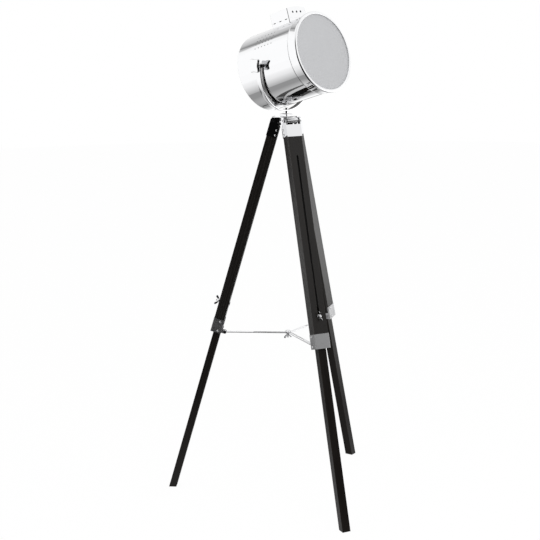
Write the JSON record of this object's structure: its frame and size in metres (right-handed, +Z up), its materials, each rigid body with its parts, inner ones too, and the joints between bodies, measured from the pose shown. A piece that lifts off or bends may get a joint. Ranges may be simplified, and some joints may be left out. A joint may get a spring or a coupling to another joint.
{
  "type": "tripod floor lamp",
  "caption": "Spotlight floor lamp with a tilting chrome drum head in a yoke, on a folding tripod of black wooden legs that extend.",
  "frame": {"origin": "on the floor, on the centre line of the tripod, below the swivel bolt", "axes": "+Z up along the swivel bolt, -Y the way the drum faces, X along the tilt axis"},
  "size_m": [0.6058, 0.6563, 1.4625],
  "materials": {
    "chrome": "polished mirror plating",
    "satin_steel": "satin",
    "black_wood": "black stain, satin",
    "opal_diffuser": "opal white, matt",
    "white_ceramic": "glazed",
    "frosted_bulb": "frosted",
    "black_rubber": "matt"
  },
  "bodies": {
    "hub": {"hub": "chrome", "swivel_bolt": "chrome", "swivel_spacer": "chrome", "hinge_bolts": "chrome", "hinge_bushes": "satin_steel"},
    "pan_knob": {"pan_knob": "chrome"},
    "yoke": {"yoke": "chrome"},
    "head": {"drum_shell": "chrome", "rear_cover": "chrome", "front_bezel": "chrome", "diffuser": "opal_diffuser", "chimney_base": "chrome", "chimney_box": "chrome", "pivot_bosses": "chrome", "socket_plate": "satin_steel", "plate_screws": "satin_steel", "lamp_socket": "white_ceramic", "bulb": "frosted_bulb", "cable_gland": "black_rubber"},
    "tilt_knob_left": {"tilt_knob_left": "chrome"},
    "tilt_knob_right": {"tilt_knob_right": "chrome"},
    "leg_a": {"top_bracket_a": "chrome", "face_board_a": "black_wood", "side_rails_a": "black_wood", "top_block_a": "black_wood", "leg_collar_a": "satin_steel", "leg_screws_a": "chrome", "spreader_tab_a": "chrome", "tab_pin_a": "chrome"},
    "lower_leg_a": {"lower_leg_a": "black_wood", "clamp_bolt_a": "chrome"},
    "wing_nut_a": {"wing_nut_a": "chrome"},
    "spreader_arm_a": {"spreader_arm_a": "chrome"},
    "leg_b": {"top_bracket_b": "chrome", "face_board_b": "black_wood", "side_rails_b": "black_wood", "top_block_b": "black_wood", "leg_collar_b": "satin_steel", "leg_screws_b": "chrome", "spreader_tab_b": "chrome", "tab_pin_b": "chrome"},
    "lower_leg_b": {"lower_leg_b": "black_wood", "clamp_bolt_b": "chrome"},
    "wing_nut_b": {"wing_nut_b": "chrome"},
    "spreader_arm_b": {"spreader_arm_b": "chrome"},
    "leg_c": {"top_bracket_c": "chrome", "face_board_c": "black_wood", "side_rails_c": "black_wood", "top_block_c": "black_wood", "leg_collar_c": "satin_steel", "leg_screws_c": "chrome", "spreader_tab_c": "chrome", "tab_pin_c": "chrome"},
    "lower_leg_c": {"lower_leg_c": "black_wood", "clamp_bolt_c": "chrome"},
    "wing_nut_c": {"wing_nut_c": "chrome"},
    "spreader_arm_c": {"spreader_arm_c": "chrome"},
    "spreader_centre": {"centre_bolt": "chrome"},
    "centre_wing_nut": {"centre_wing_nut": "chrome"}
  },
  "joints": [
    {"name": "pan", "type": "hinge", "parent": "hub", "child": "yoke", "pos_m": [0, 0, 1.16527], "axis": [0, 0, 1], "range_deg": [-170, 170]},
    {"name": "tilt", "type": "hinge", "parent": "yoke", "child": "head", "pos_m": [0, 0, 1.30127], "axis": [-1, 0, 0], "range_deg": [-37, 3]},
    {"name": "tilt_knob_left_turn", "type": "hinge", "parent": "head", "child": "tilt_knob_left", "pos_m": [0.116, 0, 1.30127], "axis": [1, 0, 0], "continuous": true},
    {"name": "tilt_knob_right_turn", "type": "hinge", "parent": "head", "child": "tilt_knob_right", "pos_m": [-0.116, 0, 1.30127], "axis": [-1, 0, 0], "continuous": true},
    {"name": "pan_knob_turn", "type": "hinge", "parent": "hub", "child": "pan_knob", "pos_m": [0, 0, 1.15297], "axis": [0, 0, 1], "continuous": true},
    {"name": "leg_a_fold", "type": "hinge", "parent": "hub", "child": "leg_a", "pos_m": [0.03597, 0.0041, 1.13897], "axis": [-0.1132, 0.9936, 0], "range_deg": [0, 9]},
    {"name": "leg_b_fold", "type": "hinge", "parent": "hub", "child": "leg_b", "pos_m": [-0.02153, 0.0291, 1.13897], "axis": [-0.8039, -0.5948, 0], "range_deg": [0, 9]},
    {"name": "leg_c_fold", "type": "hinge", "parent": "hub", "child": "leg_c", "pos_m": [-0.01443, -0.0332, 1.13897], "axis": [0.9171, -0.3987, 0], "range_deg": [0, 9]},
    {"name": "leg_a_extend", "type": "slide", "parent": "leg_a", "child": "lower_leg_a", "axis": [-0.2839, -0.0323, 0.9583], "range_m": [0, 0.465]},
    {"name": "leg_b_extend", "type": "slide", "parent": "leg_b", "child": "lower_leg_b", "axis": [0.1699, -0.2297, 0.9583], "range_m": [0, 0.465]},
    {"name": "leg_c_extend", "type": "slide", "parent": "leg_c", "child": "lower_leg_c", "axis": [0.1139, 0.262, 0.9583], "range_m": [0, 0.465]},
    {"name": "wing_nut_a_turn", "type": "hinge", "parent": "lower_leg_a", "child": "wing_nut_a", "pos_m": [0.20419, 0.02327, 0.59466], "axis": [0.9522, 0.1085, 0.2857], "continuous": true},
    {"name": "wing_nut_b_turn", "type": "hinge", "parent": "lower_leg_b", "child": "wing_nut_b", "pos_m": [-0.12224, 0.1652, 0.59466], "axis": [-0.57, 0.7704, 0.2857], "continuous": true},
    {"name": "wing_nut_c_turn", "type": "hinge", "parent": "lower_leg_c", "child": "wing_nut_c", "pos_m": [-0.08195, -0.18847, 0.59466], "axis": [-0.3821, -0.8788, 0.2857], "continuous": true},
    {"name": "arm_a_hinge", "type": "hinge", "parent": "leg_a", "child": "spreader_arm_a", "pos_m": [0.18977, 0.02162, 0.49808], "axis": [-0.1132, 0.9936, 0], "range_deg": [-9, 0]},
    {"name": "arm_b_hinge", "type": "hinge", "parent": "leg_b", "child": "spreader_arm_b", "pos_m": [-0.11361, 0.15353, 0.49808], "axis": [-0.8039, -0.5948, 0], "range_deg": [-9, 0]},
    {"name": "arm_c_hinge", "type": "hinge", "parent": "leg_c", "child": "spreader_arm_c", "pos_m": [-0.07616, -0.17516, 0.49808], "axis": [0.9171, -0.3987, 0], "range_deg": [-9, 0]},
    {"name": "spreader_centre_slide", "type": "slide", "parent": "spreader_arm_a", "child": "spreader_centre", "axis": [0.9936, 0.1132, 0], "range_m": [0, 0.10226]},
    {"name": "centre_wing_nut_turn", "type": "hinge", "parent": "spreader_centre", "child": "centre_wing_nut", "pos_m": [0, 0, 0.49808], "axis": [0, 0, 1], "continuous": true}
  ],
  "couplings": [
    {"joint": "leg_b_fold", "follows": "leg_a_fold", "ratio": 1},
    {"joint": "leg_c_fold", "follows": "leg_a_fold", "ratio": 1},
    {"joint": "arm_a_hinge", "follows": "leg_a_fold", "ratio": -1},
    {"joint": "arm_b_hinge", "follows": "leg_a_fold", "ratio": -1},
    {"joint": "arm_c_hinge", "follows": "leg_a_fold", "ratio": -1},
    {"joint": "spreader_centre_slide", "follows": "leg_a_fold", "m_per_rad": 0.65039}
  ]
}
